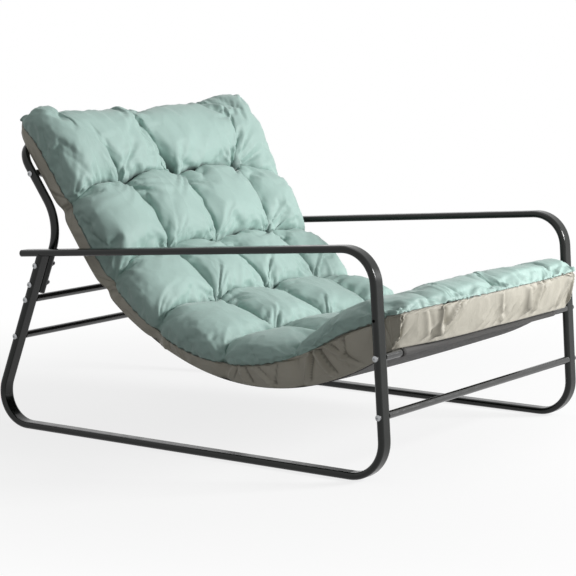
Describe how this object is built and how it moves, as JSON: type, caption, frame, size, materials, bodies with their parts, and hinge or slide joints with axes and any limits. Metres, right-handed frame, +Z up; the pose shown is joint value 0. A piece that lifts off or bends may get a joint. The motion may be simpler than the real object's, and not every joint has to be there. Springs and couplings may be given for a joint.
{
  "type": "sling lounge chair",
  "caption": "Low lounge chair: bent flat-oval tube side frames bolted to round cross bars, a fabric sling hung between two bars, and a loose tufted two-tone cushion on it.",
  "frame": {"origin": "on the floor, under the middle of the whole chair", "axes": "+Z up, the chair faces -Y, +X to the sitter's left"},
  "size_m": [0.8436, 1.0477, 0.7086],
  "materials": {
    "frame_steel": "satin black powder coat",
    "end_plastic": "moulded black plastic",
    "bolt_zinc": "bright zinc plate",
    "sling_cloth": "dark charcoal plain weave",
    "cushion_mint": "mint woven polyester, slight sheen",
    "cushion_taupe": "taupe woven polyester"
  },
  "bodies": {
    "frame": {"right_side_frame": "frame_steel", "right_armrest_cap": "end_plastic", "right_back_frame_plug": "end_plastic", "right_back_frame_bolts": "bolt_zinc", "right_back_frame_head_washers": "end_plastic", "right_back_frame_nut_washers": "end_plastic", "right_back_frame_nuts": "bolt_zinc", "left_side_frame": "frame_steel", "left_armrest_cap": "end_plastic", "left_back_frame_plug": "end_plastic", "left_back_frame_bolts": "bolt_zinc", "left_back_frame_head_washers": "end_plastic", "left_back_frame_nut_washers": "end_plastic", "left_back_frame_nuts": "bolt_zinc", "back_frame": "frame_steel", "front_sling_bar": "frame_steel", "front_sling_bar_inserts": "bolt_zinc", "front_sling_bar_washers": "end_plastic", "front_sling_bar_bolts": "bolt_zinc", "front_stretcher": "frame_steel", "front_stretcher_inserts": "bolt_zinc", "front_stretcher_washers": "end_plastic", "front_stretcher_bolts": "bolt_zinc", "rear_upper_stretcher": "frame_steel", "rear_upper_stretcher_inserts": "bolt_zinc", "rear_upper_stretcher_washers": "end_plastic", "rear_upper_stretcher_bolts": "bolt_zinc", "rear_lower_stretcher": "frame_steel", "rear_lower_stretcher_inserts": "bolt_zinc", "rear_lower_stretcher_washers": "end_plastic", "rear_lower_stretcher_bolts": "bolt_zinc", "back_sling_bar": "frame_steel", "back_sling_bar_inserts": "bolt_zinc", "back_sling_bar_washers": "end_plastic", "back_sling_bar_bolts": "bolt_zinc", "sling": "sling_cloth"},
    "cushion": {"cushion_top": "cushion_mint", "cushion_base": "cushion_taupe"}
  },
  "joints": [
    {"name": "cushion_lift", "type": "slide", "parent": "frame", "child": "cushion", "axis": [0, 0, 1], "range_m": [0, 0.35]}
  ]
}
